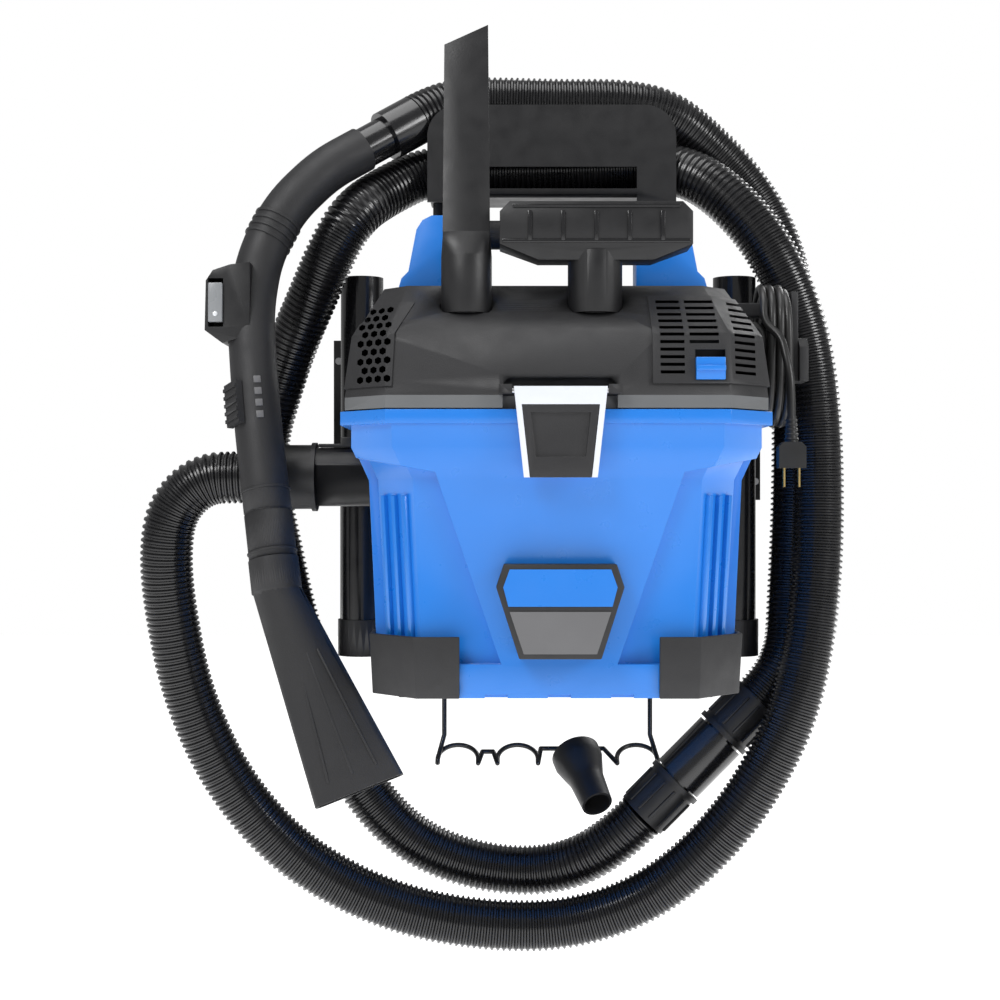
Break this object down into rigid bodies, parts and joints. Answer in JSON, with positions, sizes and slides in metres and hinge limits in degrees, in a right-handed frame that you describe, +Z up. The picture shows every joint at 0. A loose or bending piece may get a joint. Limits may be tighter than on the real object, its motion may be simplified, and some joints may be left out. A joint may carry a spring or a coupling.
{
  "type": "wall-mounted wet and dry shop vacuum",
  "caption": "Wall-mounted wet and dry shop vacuum with bracket, hose hanger, remote wand, long hose and stored tools.",
  "frame": {"origin": "centre of the four wall screws, on the back face of the wall plate", "axes": "+Z up, the front faces -Y, +X to the viewer's right"},
  "size_m": [0.6352, 0.35, 0.8091],
  "materials": {
    "blue_plastic": "satin",
    "black_plastic": "satin",
    "charcoal_plastic": "textured",
    "grey_plastic": "satin",
    "gloss_black": "gloss",
    "hose_plastic": "gloss",
    "silver_plastic": "satin",
    "steel": "brushed",
    "fan_metal": "satin",
    "coated_wire": "satin",
    "seal_rubber": "matt",
    "cord_rubber": "satin",
    "filter_paper": "matt",
    "float_plastic": "satin",
    "board_green": "satin",
    "plug_brass": "satin"
  },
  "bodies": {
    "bracket": {"wall_plate": "black_plastic", "side_columns": "black_plastic", "bracket_screws": "steel", "hose_hanger": "black_plastic", "wire_rack": "coated_wire", "tank": "blue_plastic", "corner_feet": "charcoal_plastic", "tank_badge": "charcoal_plastic", "tank_seal": "seal_rubber", "inlet_spout": "black_plastic", "wand_handle": "charcoal_plastic", "wand_lower_tube": "charcoal_plastic", "remote_housing": "black_plastic", "remote_battery": "steel", "upper_hose": "hose_plastic", "lower_hose": "hose_plastic", "handle_cuff": "black_plastic", "hose_coupler": "gloss_black", "coupler_cuffs": "black_plastic"},
    "lid": {"lid_shell": "charcoal_plastic", "lid_base": "grey_plastic", "vent_panel": "charcoal_plastic", "mesh_grille": "charcoal_plastic", "tool_posts": "charcoal_plastic", "handle_frame": "blue_plastic", "handle_grip": "charcoal_plastic", "lid_screws": "steel", "motor_housing": "black_plastic", "motor_stator": "steel", "motor_bearings": "steel", "motor_brushes": "charcoal_plastic", "float_cage": "black_plastic", "receiver_board": "board_green", "switch_housing": "black_plastic", "cord_hook": "charcoal_plastic", "cord_relief": "cord_rubber", "power_cord": "cord_rubber", "cord_hank": "cord_rubber", "plug_body": "cord_rubber", "plug_blades": "plug_brass", "latch_pin": "steel"},
    "rotor": {"motor_shaft": "steel", "armature": "steel", "fan_wheels": "fan_metal"},
    "float": {"float_ball": "float_plastic"},
    "filter": {"filter_cartridge": "filter_paper", "filter_retainer": "black_plastic"},
    "switch": {"power_switch": "blue_plastic"},
    "latch": {"latch_frame": "silver_plastic", "latch_insert": "charcoal_plastic"},
    "crevice_tool_body": {"crevice_tool": "black_plastic"},
    "utility_nozzle_body": {"utility_nozzle": "black_plastic"},
    "blower_nozzle_body": {"blower_nozzle": "black_plastic"},
    "left_wand_body": {"left_wand": "gloss_black"},
    "right_wand_body": {"right_wand": "gloss_black"},
    "fan_nozzle_body": {"fan_nozzle": "charcoal_plastic"},
    "remote_button_body": {"remote_button": "silver_plastic"},
    "bleed_slider_body": {"bleed_slider": "charcoal_plastic"},
    "inlet_cuff_body": {"inlet_cuff": "black_plastic"},
    "inlet_clip_body": {"inlet_clip": "black_plastic"}
  },
  "joints": [
    {"name": "lid_lift", "type": "slide", "parent": "bracket", "child": "lid", "axis": [0, 0, 1], "range_m": [0, 0.08]},
    {"name": "rotor_spin", "type": "hinge", "parent": "lid", "child": "rotor", "pos_m": [0, -0.215, 0.1], "axis": [0, 0, 1], "continuous": true},
    {"name": "float_rise", "type": "slide", "parent": "lid", "child": "float", "axis": [0, 0, 1], "range_m": [0, 0.058]},
    {"name": "filter_pull", "type": "slide", "parent": "lid", "child": "filter", "axis": [0, 0, -1], "range_m": [0, 0.088]},
    {"name": "switch_slide", "type": "slide", "parent": "lid", "child": "switch", "axis": [0, 0, 1], "range_m": [0, 0.006]},
    {"name": "latch_swing", "type": "hinge", "parent": "lid", "child": "latch", "pos_m": [0.0016, -0.339, 0.085], "axis": [-1, 0, 0], "range_deg": [0, 90]},
    {"name": "crevice_lift", "type": "slide", "parent": "lid", "child": "crevice_tool_body", "axis": [0, 0, 1], "range_m": [0, 0.045]},
    {"name": "utility_lift", "type": "slide", "parent": "lid", "child": "utility_nozzle_body", "axis": [0, 0, 1], "range_m": [0, 0.045]},
    {"name": "blower_pull", "type": "slide", "parent": "bracket", "child": "blower_nozzle_body", "axis": [0.2702, -0.7605, -0.5904], "range_m": [0, 0.04]},
    {"name": "left_wand_lift", "type": "slide", "parent": "bracket", "child": "left_wand_body", "axis": [0, 0, 1], "range_m": [0, 0.034]},
    {"name": "right_wand_lift", "type": "slide", "parent": "bracket", "child": "right_wand_body", "axis": [0, 0, 1], "range_m": [0, 0.024]},
    {"name": "fan_nozzle_pull", "type": "slide", "parent": "bracket", "child": "fan_nozzle_body", "axis": [0.139, -0.2238, -0.9647], "range_m": [0, 0.026]},
    {"name": "remote_press", "type": "slide", "parent": "bracket", "child": "remote_button_body", "axis": [0, 1, 0], "range_m": [0, 0.0012], "stiffness_N_per_m": 800, "springref_m": -0.001},
    {"name": "bleed_slide", "type": "slide", "parent": "bracket", "child": "bleed_slider_body", "axis": [-0.1144, 0.2517, 0.961], "range_m": [0, 0.008]},
    {"name": "inlet_cuff_swivel", "type": "hinge", "parent": "bracket", "child": "inlet_cuff_body", "pos_m": [-0.2245, -0.142, 0.0205], "axis": [1, 0, 0], "continuous": true},
    {"name": "inlet_clip_lift", "type": "hinge", "parent": "bracket", "child": "inlet_clip_body", "pos_m": [-0.177, -0.142, 0.0468], "axis": [0, 1, 0], "range_deg": [0, 8], "stiffness_Nm_per_rad": 0.6}
  ]
}
